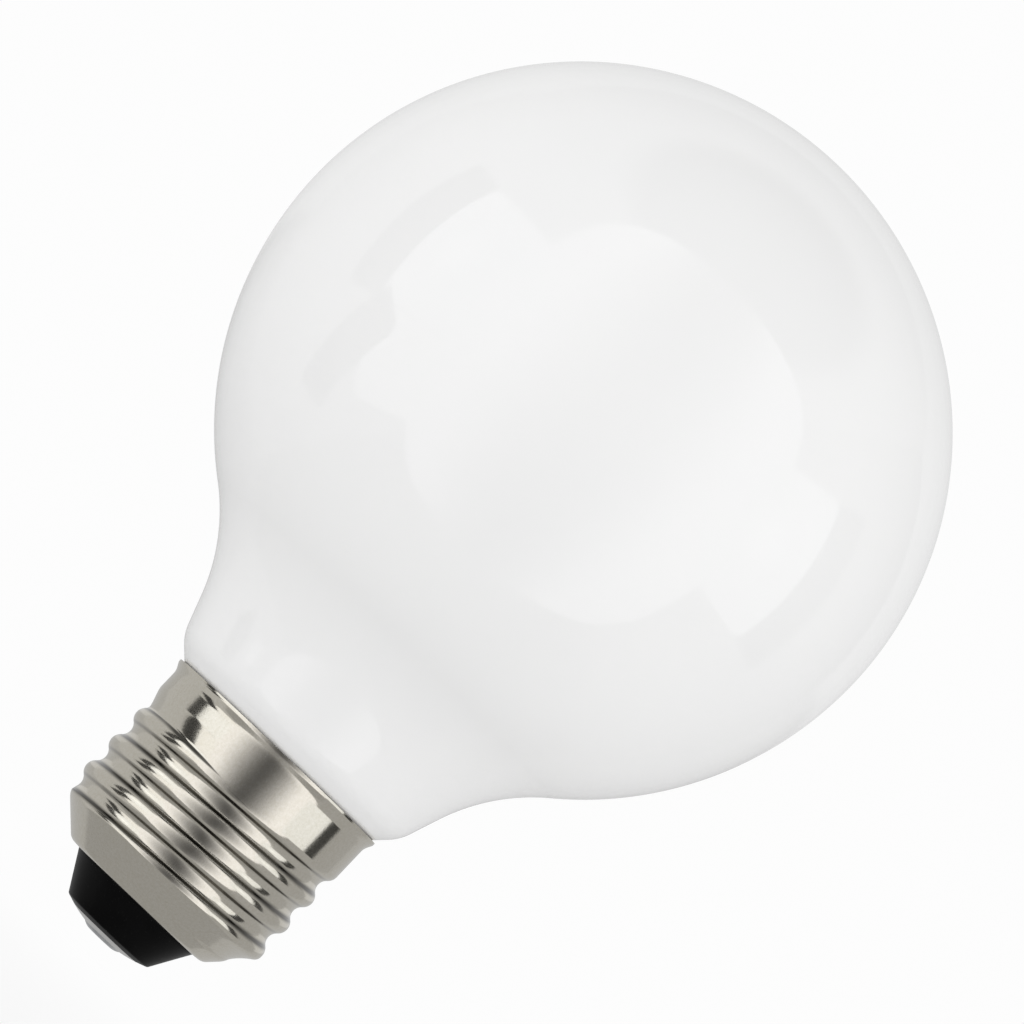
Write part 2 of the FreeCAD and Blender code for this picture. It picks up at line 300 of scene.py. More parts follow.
class Shader:
    """A material under construction, with the few node steps that the finishes share."""

    def __init__(self, name: str) -> None:
        """Starts a material with a Principled shader and Object coordinates.

        Args:
            name: Name of the material.
        """
        self.material = bpy.data.materials.new(name)
        self.material.use_nodes = True
        self.nodes = self.material.node_tree.nodes
        self.links = self.material.node_tree.links
        self.surface = self.nodes["Principled BSDF"]
        self.place = self.nodes.new("ShaderNodeTexCoord").outputs["Object"]

    def effect(self, effect: Effect, scale: float, contrast: float) -> Node:
        """Places an effect's group.

        Args:
            effect: The effect that is wanted.
            scale: Its scale, in turns a metre.
            contrast: The contrast of its mask.

        Returns:
            The group's node.
        """
        node = self.nodes.new("ShaderNodeGroup")
        node.node_tree = effect_group(effect)
        node.inputs["Scale"].default_value = scale
        node.inputs["Contrast"].default_value = contrast
        self.links.new(self.place, node.inputs["Place"])
        return node

    def colour_between(self, mask: NodeSocket, low: Colour, high: Colour) -> NodeSocket:
        """Mixes two colours.

        Args:
            mask: The mask to mix by.
            low: The colour where the mask is 0.
            high: The colour where it is 1.

        Returns:
            The mixed colour.
        """
        mix = self.nodes.new("ShaderNodeMix")
        mix.data_type = "RGBA"
        self.links.new(mask, mix.inputs["Factor"])
        mix.inputs["A"].default_value = (*low, 1.0)
        mix.inputs["B"].default_value = (*high, 1.0)
        return mix.outputs["Result"]

    def value_between(self, mask: NodeSocket, low: float, high: float) -> NodeSocket:
        """Maps a mask to a range of values.

        Args:
            mask: The mask to map.
            low: The value where the mask is 0.
            high: The value where it is 1.

        Returns:
            The mapped value.
        """
        step = self.nodes.new("ShaderNodeMapRange")
        self.links.new(mask, step.inputs["Value"])
        step.inputs["To Min"].default_value = low
        step.inputs["To Max"].default_value = high
        return step.outputs["Result"]

    def bump(self, height: NodeSocket, depth: float, strength: float) -> NodeSocket:
        """Adds a bump.

        Args:
            height: The height that it follows, from 0 to 1.
            depth: Its depth, in millimetres.
            strength: How strongly it turns the surface.

        Returns:
            The bumped normal.
        """
        node = self.nodes.new("ShaderNodeBump")
        node.inputs["Distance"].default_value = depth * MM
        node.inputs["Strength"].default_value = strength
        self.links.new(height, node.inputs["Height"])
        return node.outputs["Normal"]

    def paint_flank_shade(self, colour: NodeSocket, shade: float) -> NodeSocket:
        """Paints shade into the plating's colour on the thread's steep sides, most of all on those that
        face up, where they mirror dark surroundings.

        Args:
            colour: The plating's colour.
            shade: The share of the colour that the painted shade leaves on the steepest sides that face
                up.

        Returns:
            The colour with the painted shade.
        """
        # Painted shade: up-facing sides get all of it, down-facing ones half as much.
        upper_slopes = (0.38, 1.0)
        lower_slopes = (-0.6, -1.15)
        lower_shade = 1 - (1 - shade) / 2
        slope = self.nodes.new("ShaderNodeAttribute")
        slope.attribute_name = FLANK
        for slopes, least in ((upper_slopes, shade), (lower_slopes, lower_shade)):
            ramp = smooth_ramp(self.nodes, slopes, (1.0, least))
            self.links.new(slope.outputs["Fac"], ramp.inputs["Value"])
            scale = self.nodes.new("ShaderNodeVectorMath")
            scale.operation = "SCALE"
            self.links.new(colour, scale.inputs[0])
            self.links.new(ramp.outputs["Result"], scale.inputs["Scale"])
            colour = scale.outputs["Vector"]
        return colour

    def feed(self, socket: str, value: NodeSocket) -> None:
        """Feeds a varying value to one of the surface's sockets."""
        self.links.new(value, self.surface.inputs[socket])


# Finishes

@dataclass(frozen=True)
class PlainFinish:
    """A finish whose two close colours, roughness and relief all follow one effect."""

    name: str
    effect: Effect
    scale: float
    contrast: float
    low: Colour
    high: Colour
    roughness: Point
    depth: float
    strength: float
    specular: float = 0.5

    def build(self) -> Material:
        """Builds the material.

        Returns:
            The material.
        """
        shader = Shader(self.name)
        pattern = shader.effect(self.effect, self.scale, self.contrast)
        mask, height = pattern.outputs["Mask"], pattern.outputs["Height"]
        shader.feed("Base Color", shader.colour_between(mask, self.low, self.high))
        shader.feed("Roughness", shader.value_between(mask, *self.roughness))
        shader.feed("Normal", shader.bump(height, self.depth, self.strength))
        shader.surface.inputs["Specular IOR Level"].default_value = self.specular
        return shader.material


@dataclass(frozen=True)
class NickelPlate:
    """Nickel on thin rolled sheet: warm, bright and finely speckled."""

    name: str = "nickel_plate"
    warm: Colour = (0.62, 0.585, 0.50)
    pale: Colour = (0.70, 0.67, 0.60)
    roughness: Point = (0.09, 0.16)
    grain_scale: float = 3200.0
    grain_depth: float = 0.006
    # Share of the colour left by painted shade on the thread's steepest up-facing sides; 1 paints none.
    painted_flank_shade: float = 1.0
    grain_contrast: float = 2.2
    grain_strength: float = 0.6
    cloud_scale: float = 160.0
    cloud_contrast: float = 1.8

    def build(self) -> Material:
        """Builds the material.

        Returns:
            The material.
        """
        shader = Shader(self.name)
        grain = shader.effect(Effect.GRAIN, self.grain_scale, self.grain_contrast)
        clouds = shader.effect(Effect.CLOUDS, self.cloud_scale, self.cloud_contrast)
        colour = shader.colour_between(grain.outputs["Mask"], self.warm, self.pale)
        # Painted shade on the thread's steep sides, standing in for the dark reflections there.
        if self.painted_flank_shade < 1.0:
            colour = shader.paint_flank_shade(colour, self.painted_flank_shade)
        shader.feed("Base Color", colour)
        shader.feed("Roughness", shader.value_between(clouds.outputs["Mask"], *self.roughness))
        speckle = shader.bump(grain.outputs["Height"], self.grain_depth, self.grain_strength)
        shader.feed("Normal", speckle)
        shader.surface.inputs["Metallic"].default_value = 1.0
        return shader.material


# White glass, opaque all through, with a fire-polished, very slightly uneven skin.
OPAL_GLASS = PlainFinish(
    "opal_glass", Effect.CLOUDS, scale=45.0, contrast=1.6, low=(0.838, 0.838, 0.838),
    high=(0.865, 0.865, 0.862), roughness=(0.045, 0.075), depth=0.02, strength=0.5)
# Moulded black glass with a soft skin.
BLACK_GLASS = PlainFinish(
    "black_glass", Effect.CLOUDS, scale=300.0, contrast=2.0, low=(0.0010, 0.0010, 0.0011),
    high=(0.0025, 0.0025, 0.0025), roughness=(0.30, 0.42), depth=0.02, strength=0.4, specular=0.06)
# Basing cement, fired hard: matt, pale brown and grainy.
FIRED_CEMENT = PlainFinish(
    "basing_cement", Effect.GRAIN, scale=1800.0, contrast=2.5, low=(0.30, 0.26, 0.20),
    high=(0.55, 0.50, 0.42), roughness=(0.75, 0.95), depth=0.08, strength=1.0)
TINNED = NickelPlate(
    "tinned_contact", warm=(0.60, 0.595, 0.58), pale=(0.70, 0.695, 0.68), roughness=(0.20, 0.32),
    grain_scale=2400.0, grain_depth=0.008)
SOLDER = NickelPlate(
    "solder", warm=(0.50, 0.51, 0.52), pale=(0.62, 0.63, 0.64), roughness=(0.24, 0.40),
    grain_scale=900.0, grain_depth=0.02)
COPPER = NickelPlate(
    "lead_wire", warm=(0.62, 0.36, 0.25), pale=(0.72, 0.45, 0.33), roughness=(0.25, 0.38),
    grain_scale=2600.0, grain_depth=0.004)


# The bulb

@dataclass
class GlassEnvelope:
    """The opal glass: globe, blended neck, shoulder and the sealed end inside the cap."""

    crown_height: float
    globe_radius: float
    crown_flattening: float = 0.4
    neck_blend_radius: float = 21.0
    neck_taper: float = math.radians(19.5)
    shoulder_radius: float = 15.5
    shoulder_height: float = 29.17
    shoulder_straight: float = 3.0
    shoulder_rounding: float = 5.0
    tuck_rim_radius: float = 13.0
    tuck_rim_height: float = 25.87
    tuck_foot_rounding: float = 2.5
    seal_radius: float = 10.9
    seal_height: float = 18.0
    seal_rounding: float = 3.0
    tip_radius: float = 2.0
    tip_length: float = 4.5
    tip_root: float = 0.8
    tip_rounding: float = 0.9
    steps: int = 256
    crown_steps: int = 64
    globe_steps: int = 48
    blend_steps: int = 40
    arc_step: float = 0.35
    longest_run: float = 1.2

    def section(self) -> list[Point]:
        """Lays out the glass from its crown down to the exhaust tip.

        Returns:
            The section's points, in millimetres, from axis to axis.
        """
        centre = Vector((0.0, self.crown_height - self.globe_radius + self.crown_flattening))
        up = Vector((math.sin(self.neck_taper), math.cos(self.neck_taper)))
        out = Vector((math.cos(self.neck_taper), -math.sin(self.neck_taper)))
        shoulder = Vector((self.shoulder_radius, self.shoulder_height))
        blend_start = shoulder + up * self.shoulder_straight
        blend_centre = blend_start + out * self.neck_blend_radius
        join = math.atan2(blend_centre.y - centre.y, blend_centre.x - centre.x)
        crown_rise = self.globe_radius - self.crown_flattening
        turns = [math.pi / 2 * (1 - step / self.crown_steps) for step in range(self.crown_steps + 1)]
        crown = [(self.globe_radius * math.cos(turn), centre.y + crown_rise * math.sin(turn))
                 for turn in turns]
        globe = arc(centre[:], self.globe_radius, 0.0, join, self.globe_steps)
        blend = arc(blend_centre[:], self.neck_blend_radius, join + math.pi,
                    math.pi - self.neck_taper, self.blend_steps)
        corner_height = (shoulder.x - shoulder.y * math.tan(self.neck_taper) - self.tuck_rim_radius
                         + self.tuck_rim_height) / (1 - math.tan(self.neck_taper))
        corner_radius = self.tuck_rim_radius + corner_height - self.tuck_rim_height
        tip_height = self.seal_height - self.tip_length
        lower = rounded([
            (*blend[-1], 0),
            (corner_radius, corner_height, self.shoulder_rounding),
            (self.seal_radius, self.tuck_rim_height - self.tuck_rim_radius + self.seal_radius,
             self.tuck_foot_rounding),
            (self.seal_radius, self.seal_height, self.seal_rounding),
            (self.tip_radius, self.seal_height, self.tip_root),
            (self.tip_radius, tip_height, self.tip_rounding),
            (0, tip_height, 0),
        ], self.arc_step)
        return spaced(crown[:-1] + globe + blend[1:] + lower[1:], self.longest_run)

    def build(self) -> None:
        """Builds and dresses the glass."""
        piece = turn_section("opal_globe", self.section(), self.steps)
        dress(piece, SOFT_EDGES, OPAL_GLASS.build(), "opal_glass", "glass_bulb")


@dataclass
class ScrewCap:
    """The sheet cap: flared lip, plain collar, rolled right-hand thread, cone and floor."""

    rim_height: float
    lip_radius: float
    floor_height: float
    sheet: float = 0.3
    thread_radius: float = 13.05
    thread_pitch: float = 25.4 / 7
    thread_depth: float = 0.85
    thread_turns: float = 3.15
    collar_height: float = 5.07
    groove_top_turn: float = 0.5
    lower_runout: float = 0.7
    taper_start_depth: float = 3.31
    taper_slope: float = 0.352
    taper_bend: float = 0.5
    taper_blend_turns: float = 0.4
    taper_steady_turns: float = 0.055
    taper_end_turns: float = 0.19
    lip_height: float = 0.3
    lip_rounding: float = 0.35
    flare_height: float = 0.85
    flare_rounding: float = 1.5
    cone_top: float = 9.25
    cone_top_rounding: float = 0.9
    floor_rounding: float = 1.3
    hole_radius: float = 7.9
    thread_top_margin: float = 0.75
    thread_foot_margin: float = 0.87
    plain_margin: float = 0.9
    # Where round the groove's top end the painted shade is strengthened, in shares of a turn, and by how
    # much.
    shade_boost_start: float = 0.10
    shade_boost_rise: float = 0.12
    shade_boost_end: float = 0.25
    shade_boost_fall: float = 0.05
    shade_boost_gain: float = 3.0
    # Painted shade on the thread's steep sides: the share of the plating's colour left there.
    painted_flank_shade: float = 0.12
    steps: int = 240
    outer_step: float = 0.085
    inner_step: float = 0.34

    @property
    def thread_top(self) -> float:
        """Height at which the threaded zone ends below the flare."""
        return self.rim_height - self.lip_height - self.flare_height - self.thread_top_margin

    @property
    def thread_foot(self) -> float:
        """Height at which the threaded zone ends above the floor."""
        return self.floor_height + self.thread_foot_margin

    def outline(self, inset: float, longest: float) -> list[Point]:
        """Lays out one face of the sheet, from the rim down to the hole in the floor.

        Args:
            inset: How far the face lies inside the outer one, in millimetres.
            longest: The longest run left whole, in millimetres.

        Returns:
            The face's points, in millimetres.
        """
        half_cone = math.pi / 8
        cone_shift = inset * math.tan(half_cone)
        floor = self.floor_height + inset
        radius = self.thread_radius - inset
        corner_radius = radius - (self.cone_top - cone_shift - floor)
        corners = [
            (self.lip_radius - inset, self.rim_height, 0),
            (self.lip_radius - inset, self.rim_height - self.lip_height, self.lip_rounding),
            (radius, self.rim_height - self.lip_height - self.flare_height, self.flare_rounding),
            (radius, self.cone_top - cone_shift, self.cone_top_rounding - inset),
            (corner_radius, floor, self.floor_rounding - inset),
            (self.hole_radius, floor, 0),
        ]
        return spaced(rounded(corners), longest)

    def groove_section(self, offset: float) -> float:
        """Gives the full groove's depth, from equal arcs at root and crest.

        Args:
            offset: Height above the groove's middle, in millimetres.

        Returns:
            The depth in millimetres, which is 0 from half a pitch on.
        """
        quarter = self.thread_pitch / 4
        radius = (quarter ** 2 + (self.thread_depth / 2) ** 2) / self.thread_depth
        offset = abs(offset)
        if offset >= 2 * quarter:
            return 0.0
        if offset <= quarter:
            return self.thread_depth - radius + math.sqrt(radius ** 2 - offset ** 2)
        return radius - math.sqrt(radius ** 2 - (2 * quarter - offset) ** 2)

    def collar_taper(self, down: float, height: float) -> float:
        """Gives the depth to which the collar draws in towards the groove's top end.

        Args:
            down: How far down the groove from its top end, in turns.
            height: Height above the contact, in millimetres.

        Returns:
            The depth in millimetres, which limits the groove there.
        """
        least_opening = 0.01
        below = max(self.rim_height - self.taper_start_depth - height, 0.0)
        drawn = self.taper_slope * below ** 2 / (below + self.taper_bend)
        ending = 1 - eased((-down - self.taper_steady_turns) / self.taper_end_turns)
        opening = 1 - eased(down / self.taper_blend_turns)
        return drawn * ending / max(opening, least_opening)

    def groove_depth(self, turn: float, height: float) -> float:
        """Gives the depth of the helical groove.

        Args:
            turn: Angle round the axis, as a share of a turn.
            height: Height above the contact, in millimetres.

        Returns:
            The depth in millimetres, with both ends of the groove faded out.
        """
        phase = (self.groove_top_turn - turn) % 1.0
        depth = 0.0
        for whole in range(-1, math.ceil(self.thread_turns + self.lower_runout)):
            down = phase + whole
            middle = self.rim_height - self.collar_height - self.thread_pitch * down
            fade = 1 - eased((down - self.thread_turns) / self.lower_runout)
            groove = fade * self.groove_section(height - middle)
            if down < self.taper_blend_turns:
                groove = limited(groove, self.collar_taper(down, height))
            depth += groove
        depth *= eased((self.thread_top - height) / self.plain_margin)
        return depth * eased((height - self.thread_foot) / self.plain_margin)

    def start_shade_boost(self, turn: float, height: float) -> float:
        """Gives how much more painted shade the groove's shallow start gets than its slope alone gives.

        Args:
            turn: Angle round the axis, as a share of a turn.
            height: Height above the contact, in millimetres.

        Returns:
            The factor on the slope, which is 1 away from that start.
        """
        if height < self.rim_height - self.collar_height - self.thread_pitch / 3:
            return 1.0
        before = (turn - self.groove_top_turn) % 1.0
        rise = eased((before - self.shade_boost_start) / self.shade_boost_rise)
        fall = 1 - eased((before - self.shade_boost_end) / self.shade_boost_fall)
        return 1 + self.shade_boost_gain * rise * fall

    def press_thread(self, piece: Object) -> None:
        """Rolls the groove into both faces of the turned sheet, and marks its steep sides.

        Args:
            piece: The turned sheet. It gets an attribute with the groove's slope, above 0 where the
                side faces up and strengthened at the groove's start, which masks the painted shade.
        """
        step = 0.02
        slopes = [0.0] * len(piece.data.vertices)
        for vertex in piece.data.vertices:
            height = vertex.co.z / MM
            if not self.thread_foot < height < self.thread_top:
                continue
            radius = math.hypot(vertex.co.x, vertex.co.y)
            turn = math.atan2(vertex.co.y, vertex.co.x) / math.tau
            depth = self.groove_depth(turn, height)
            rise = self.groove_depth(turn, height + step) - depth
            slopes[vertex.index] = rise / step * self.start_shade_boost(turn, height)
            share = 1 - depth * MM / radius
            vertex.co.x *= share
            vertex.co.y *= share
        mark = piece.data.attributes.new(FLANK, "FLOAT", "POINT")
        mark.data.foreach_set("value", slopes)

    def build(self) -> None:
        """Builds and dresses the cap."""
        outer = self.outline(0.0, self.outer_step)
        inner = self.outline(self.sheet, self.inner_step)
        piece = turn_section("rolled_cap", outer + inner[::-1] + outer[:1], self.steps)
        self.press_thread(piece)
        plate = NickelPlate(painted_flank_shade=self.painted_flank_shade).build()
        dress(piece, CLEAR_EDGES, plate, "nickel_plate", "screw_shell")


@dataclass
class CapTip:
    """What closes the cap below: black glass, the domed contact and the solder at its middle."""

    floor_height: float
    tip_radius: float = 5.46
    tip_height: float = 1.14
    tip_rounding: float = 0.4
    hole_radius: float = 7.9
    sheet: float = 0.3
    seat_radius: float = 9.706
    seat_height: float = 6.332
    floor_corner_radius: float = 8.926
    floor_rounding: float = 1.0
    crown_radius: float = 4.5
    crown_rise: float = 0.9
    crown_rounding: float = 0.6
    bore_radius: float = 1.2
    contact_radius: float = 4.3
    contact_sheet: float = 0.3
    dome_radius: float = 15.0
    dome_height: float = 0.12
    flat_radius: float = 1.5
    mound_radius: float = 2.4
    mound_bulge: float = 0.22
    plug_height: float = 2.4
    steps: int = 160
    dome_steps: int = 16
    arc_step: float = 0.06
    longest_run: float = 0.4
    solder_steps: int = 96
    mound_steps: int = 12
    solder_run: float = 0.15

    def dome(self, radius: float, inset: float = 0.0) -> float:
        """Height of the contact's domed face at a radius, or of the face an inset above it."""
        fall = math.sqrt((self.dome_radius - inset) ** 2 - radius ** 2)
        return self.dome_height + self.dome_radius - fall

    def dome_points(self, start: float, end: float, inset: float = 0.0) -> list[Point]:
        """Points along the domed face from one radius to another."""
        radii = [start + (end - start) * step / self.dome_steps for step in range(self.dome_steps + 1)]
        return [(radius, self.dome(radius, inset)) for radius in radii]

    def build_insulator(self) -> None:
        """Builds the black glass, moulded through the hole in the cap's floor."""
        top = self.seat_height + self.crown_rise
        outside = rounded([
            (self.contact_radius, self.dome(self.contact_radius), 0),
            (self.tip_radius, self.tip_height, self.tip_rounding),
            (self.hole_radius, self.floor_height, 0),
            (self.hole_radius, self.floor_height + self.sheet, 0),
            (self.floor_corner_radius, self.floor_height + self.sheet, self.floor_rounding),
            (self.seat_radius, self.seat_height, 0),
            (self.crown_radius, top, self.crown_rounding),
            (self.bore_radius, top, 0),
            (self.bore_radius, self.dome(self.bore_radius, self.contact_sheet), 0),
        ], self.arc_step)
        recess = self.dome_points(self.bore_radius, self.contact_radius, self.contact_sheet)
        section = spaced(outside, self.longest_run) + recess[1:] + outside[:1]
        piece = turn_section("black_insulator", section, self.steps)
        dress(piece, CLEAR_EDGES, BLACK_GLASS.build(), "black_glass", "insulator")

    def build_contact(self) -> None:
        """Builds the domed contact disc with the hole at its middle."""
        lower = self.dome_points(self.bore_radius, self.contact_radius)
        upper = self.dome_points(self.contact_radius, self.bore_radius, self.contact_sheet)
        piece = turn_section("domed_contact", lower + upper + lower[:1], self.steps)
        dress(piece, CLEAR_EDGES, TINNED.build(), "tinned_contact", "contact_plate")

    def build_solder(self) -> None:
        """Builds the solder that fills the hole and stands below it as a low mound."""
        rise = self.dome(self.mound_radius)
        middle_height = (0.5 - self.mound_bulge) * rise
        mound = [(0.0, 0.0), (self.flat_radius, 0.0)]
        for step in range(1, self.mound_steps + 1):
            share = step / self.mound_steps
            bend = 4 * share * (1 - share)
            mound.append((self.flat_radius + (self.mound_radius - self.flat_radius) * share,
                          rise * share + (middle_height - rise / 2) * bend))
        bore = self.dome_points(self.mound_radius, self.bore_radius)
        plug = [(self.bore_radius, self.plug_height), (0.0, self.plug_height)]
        section = spaced(mound + bore[1:] + plug, self.solder_run)
        piece = turn_section("tip_solder", section, self.solder_steps)
        dress(piece, CLEAR_EDGES, SOLDER.build(), "solder", "centre_solder")


@dataclass
class RimJoint:
    """What holds the glass in the cap and joins the side lead to its rim."""

    lip_radius: float
    rim_height: float
    bead_radius: float = 1.2
    bead_sink: float = 0.35
    bead_subdivisions: int = 5

    def build_bead(self) -> None:
        """Builds the solder bead over the rim."""
        deselect_all()
        place = Vector((0.0, self.lip_radius - self.bead_sink, self.rim_height - self.bead_sink)) * MM
        bpy.ops.mesh.primitive_ico_sphere_add(subdivisions=self.bead_subdivisions,
                                              radius=self.bead_radius * MM, location=place)
        bead = bpy.context.active_object
        bead.name = "rim_bead"
        bead.data.name = "rim_bead"
        bpy.ops.object.transform_apply(location=True, rotation=True, scale=True)
        dress(bead, SOFT_EDGES, SOLDER.build(), "solder", "rim_solder")

    def dress_hidden(self) -> None:
        """Gives the cement and the lead wires, which are seen only through gaps, their finishes."""
        cement = FIRED_CEMENT.build()
        wire = COPPER.build()
        for node, material in (("basing_cement", cement), ("centre_lead", wire), ("side_lead", wire)):
            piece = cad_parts[node]
            piece.data.materials.clear()
            piece.data.materials.append(material)
            log.info("%s: dressed", node)


# The studio

def level_direction(side: int, azimuth: float) -> Vector:
    """The level direction at an azimuth from the camera, to the left (-1) or right (1) of it."""
    return Vector((side * math.sin(azimuth), -math.cos(azimuth), 0.0))


def emission_panel(name: str, place: Vector, facing: Vector, size: Point, corner: float,
                   material: Material) -> Object:
    """Sets up a flat panel with cut corners that only shows in what is glossy.

    Args:
        name: Name of the panel.
        place: Its middle, in metres.
        facing: The direction that it faces.
        size: Its width and height, in metres.
        corner: How far its corners are cut back, in metres.
        material: Its material.

    Returns:
        The panel.
    """
    corner_steps = 5
    deselect_all()
    bpy.ops.mesh.primitive_plane_add(size=1.0)
    panel = bpy.context.active_object
    panel.name = name
    bpy.ops.object.mode_set(mode="EDIT")
    bpy.ops.mesh.select_all(action="SELECT")
    bpy.ops.transform.resize(value=(size[0], size[1], 1.0))
    if corner > 0:
        bpy.ops.mesh.bevel(offset=corner, segments=corner_steps, affect="VERTICES")
    bpy.ops.object.mode_set(mode="OBJECT")
    panel.location = place
    panel.rotation_mode = "QUATERNION"
    panel.rotation_quaternion = facing.to_track_quat("Z", "Y")
    panel.data.materials.append(material)
    show_to_mirrors_only(panel)
    return panel


def area_light(name: str, place: Vector, away: Vector, size: Point, power: float) -> None:
    """Sets up a rectangular lamp that lights what is matt and that no mirror shows.

    Args:
        name: Name of the lamp.
        place: Its middle, in metres.
        away: The direction from the bulb to the lamp.
        size: Its width and height, in metres.
        power: Its power, in watts.
    """
    lamp = bpy.data.lights.new(name, "AREA")
    lamp.shape = "RECTANGLE"
    lamp.size, lamp.size_y = size
    lamp.energy = power
    holder = bpy.data.objects.new(name, lamp)
    bpy.context.scene.collection.objects.link(holder)
    holder.location = place
    holder.rotation_mode = "QUATERNION"
    holder.rotation_quaternion = away.to_track_quat("Z", "Y")
    holder.visible_glossy = False
    holder.visible_camera = False


def show_to_mirrors_only(thing: Object) -> None:
    """Hides a studio object from everything but glossy reflections.

    Args:
        thing: The object.
    """
    thing.visible_camera = False
    thing.visible_diffuse = False
    thing.visible_transmission = False
    thing.visible_shadow = False


def glow(name: str, low: float, high: float, start: float, end: float,
         tint: Colour = (1.0, 1.0, 1.0), squeeze: Corner = (1.0, 1.0, 1.0),
         middle: Corner = (0.0, 0.0, 0.0)) -> Material:
    """Makes an emission that changes with distance from a panel's middle.

    Args:
        name: Name of the material.
        low: Strength at the middle.
        high: Strength at the rim.
        start: Distance at which the change starts, in metres.
        end: Distance at which it ends, in metres.
        tint: Colour of the light.
        squeeze: Shares of the panel's own axes that count in the distance.
        middle: Where on the panel the distance is measured from, in metres.

    Returns:
        The material.
    """
    material = bpy.data.materials.new(name)
    material.use_nodes = True
    nodes, links = material.node_tree.nodes, material.node_tree.links
    nodes.clear()
    place = nodes.new("ShaderNodeTexCoord")
    moved = nodes.new("ShaderNodeVectorMath")
    moved.operation = "SUBTRACT"
    moved.inputs[1].default_value = middle
    scaled = nodes.new("ShaderNodeVectorMath")
    scaled.operation = "MULTIPLY"
    scaled.inputs[1].default_value = squeeze
    length = nodes.new("ShaderNodeVectorMath")
    length.operation = "LENGTH"
    ramp = smooth_ramp(nodes, (start, end), (low, high))
    light = nodes.new("ShaderNodeEmission")
    light.inputs["Color"].default_value = (*tint, 1.0)
    output = nodes.new("ShaderNodeOutputMaterial")
    links.new(place.outputs["Object"], moved.inputs[0])
    links.new(moved.outputs["Vector"], scaled.inputs[0])
    links.new(scaled.outputs["Vector"], length.inputs[0])
    links.new(length.outputs["Value"], ramp.inputs["Value"])
    links.new(ramp.outputs["Result"], light.inputs["Strength"])
    links.new(light.outputs["Emission"], output.inputs["Surface"])
    return material


def steady_glow(name: str, strength: float) -> Material:
    """Makes an emission of one strength all over."""
    return glow(name, strength, strength, 0.0, 1.0)


@dataclass
class Softbox:
    """A square soft light beside the bulb, with a hot middle and a black edge away from the camera."""

    name: str
    side: int
    azimuth: float
    height: float
    size: Point
    strength: float
    distance: float = 0.33
    power: float = 0.10
    hot_offset: float = 0.02
    hot_gain: float = 1.2
    hot_reach: Point = (0.01, 0.06)
    tint: Colour = (0.97, 0.985, 1.0)
    edge_width: float = 0.085
    edge_glow: float = 0.06
    edge_behind: float = 1.02
    corner: float = 0.025

    def build(self) -> None:
        """Sets up the light, the panel that mirrors show and its black edge."""
        azimuth = math.radians(self.azimuth)
        rise = Vector((0, 0, self.height))
        towards = level_direction(self.side, azimuth)
        place = towards * self.distance + rise
        face = glow(self.name + "_face", self.strength * self.hot_gain, self.strength, *self.hot_reach,
                    self.tint, middle=(self.hot_offset, 0.0, 0.0))
        emission_panel(self.name + "_face", place, -towards, self.size, self.corner, face)
        outer = azimuth + math.atan((self.size[0] + self.edge_width) / 2 / self.distance)
        edge_towards = level_direction(self.side, outer)
        edge_place = edge_towards * self.distance * self.edge_behind + rise
        edge_size = (self.edge_width, self.size[1])
        dark = steady_glow(self.name + "_edge", self.edge_glow)
        emission_panel(self.name + "_edge", edge_place, -edge_towards, edge_size, 0.0, dark)
        area_light(self.name, place, towards, self.size, self.power)


@dataclass
class LowLight:
    """A dimmer light below the left softbox, with a dark edge that leans in under it."""

    height: float = -0.085
    azimuth: float = 59.0
    distance: float = 0.335
    size: Point = (0.17, 0.17)
    corner: float = 0.02
    strength: float = 1.3
    edge_azimuth: float = 82.0
    edge_distance: float = 0.325
    edge_size: Point = (0.085, 0.22)
    edge_glow: float = 0.06
    edge_lean: float = 40.0

    def build(self) -> None:
        """Sets up the panel and its edge, which only mirrors show."""
        rise = Vector((0, 0, self.height))
        towards = level_direction(-1, math.radians(self.azimuth))
        face = steady_glow("low_light", self.strength)
        emission_panel("low_light", towards * self.distance + rise, -towards,
                       self.size, self.corner, face)
        towards = level_direction(-1, math.radians(self.edge_azimuth))
        dark = steady_glow("low_edge", self.edge_glow)
        edge = emission_panel("low_edge", towards * self.edge_distance + rise, -towards,
                              self.edge_size, 0.0, dark)
        lean = Quaternion((0, 0, 1), math.radians(self.edge_lean))
        edge.rotation_quaternion = edge.rotation_quaternion @ lean


@dataclass
class FrontLight:
    """A large cut-cornered light round the camera, dark at its middle, and a dark panel overhead."""

    place: Corner = (0.10, -0.36, 0.10)
    size: Point = (1.04, 1.16)
    corner: float = 0.2
    glows: Point = (0.12, 1.3)
    reach: Point = (0.0, 0.32)
    tint: Colour = (1.0, 0.995, 1.015)
    squeeze: Corner = (1.0, 0.12, 0.0)
    dark_side: float = 0.02
    power: float = 0.9
    overhead: Corner = (0.0, -0.28, 1.1)
    overhead_size: Point = (1.6, 1.6)
    overhead_corner: float = 0.4
    overhead_glows: Point = (0.02, 0.58)
    overhead_reach: Point = (0.55, 0.80)

    def build(self) -> None:
        """Sets up the lamp and the two panels that mirrors show."""
        place = Vector(self.place)
        middle = (place.x - self.dark_side, 0.0, 0.0)
        face = glow("front_light", *self.glows, *self.reach, self.tint, self.squeeze, middle)
        emission_panel("front_light", place, Vector((0, 1, 0)), self.size, self.corner, face)
        area_light("front_lamp", place, Vector((0, -1, 0)), self.size, self.power)
        dark = glow("dark_overhead", *self.overhead_glows, *self.overhead_reach)
        emission_panel("dark_overhead", Vector(self.overhead), Vector((0, 0, -1)),
                       self.overhead_size, self.overhead_corner, dark)


